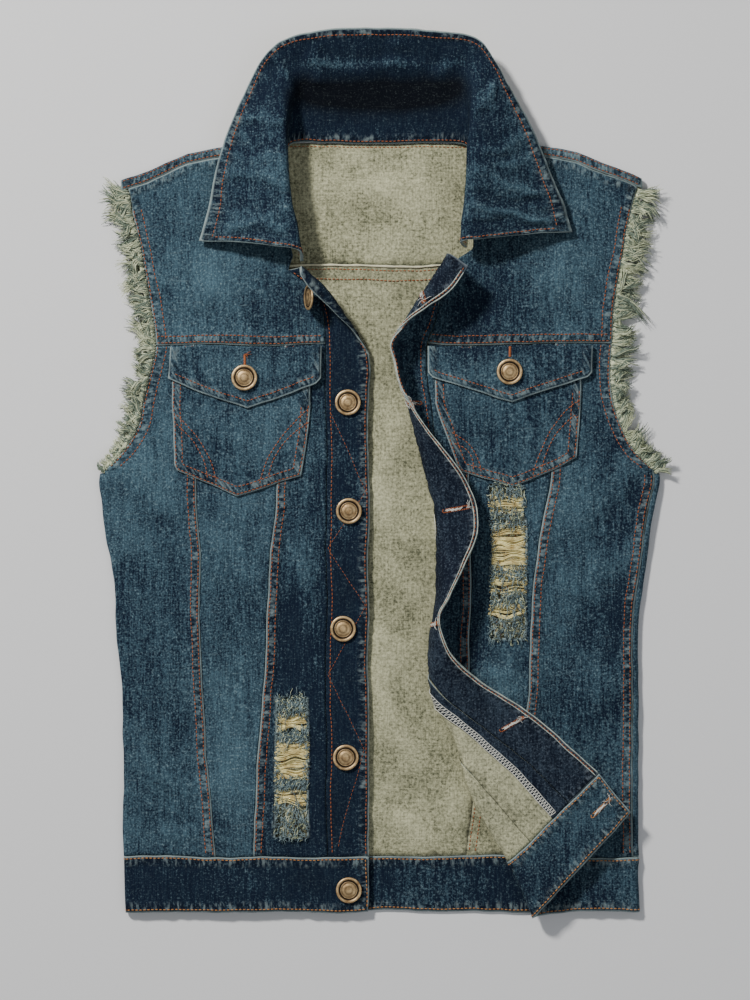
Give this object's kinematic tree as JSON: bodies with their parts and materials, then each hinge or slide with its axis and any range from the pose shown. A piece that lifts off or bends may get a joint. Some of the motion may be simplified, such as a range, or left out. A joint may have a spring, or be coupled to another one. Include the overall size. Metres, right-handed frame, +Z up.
{
  "type": "denim vest",
  "caption": "Sleeveless denim vest laid flat on its back, front open with one edge turned over, frayed armholes, flap pockets and torn windows.",
  "frame": {"origin": "middle of the laid vest's footprint, on the surface it lies on", "axes": "+Y from hem to collar, +Z up out of the front, +X to the wearer's left"},
  "size_m": [0.4726, 0.7258, 0.042],
  "materials": {
    "denim": "faded twill, matte",
    "facing": "dark twill, matte",
    "frayed_cotton": "loose cotton threads",
    "rip_threads": "bare cotton threads",
    "antique_copper": "antique copper"
  },
  "bodies": {
    "root": {"back_yoke": "denim", "back_center": "denim", "back_side_right": "denim", "back_side_left": "denim", "front_yoke_right": "denim", "front_yoke_left": "denim", "front_side_right": "denim", "front_side_left": "denim", "front_mid_right": "denim", "front_mid_left": "denim", "front_center_right": "denim", "front_center_left": "denim", "placket_right": "denim", "placket_left": "denim", "pocket_right": "denim", "pocket_left": "denim", "pocket_flap_right": "denim", "pocket_flap_left": "denim", "collar": "denim", "waistband": "denim", "facing_left": "facing", "fringe_right": "frayed_cotton", "fringe_left": "frayed_cotton", "rip_threads_right": "rip_threads", "rip_threads_left": "rip_threads", "front_button_1": "antique_copper", "front_button_2": "antique_copper", "front_button_3": "antique_copper", "front_button_4": "antique_copper", "front_button_5": "antique_copper", "front_button_6": "antique_copper", "flap_button_right": "antique_copper", "flap_button_left": "antique_copper"}
  },
  "joints": []
}
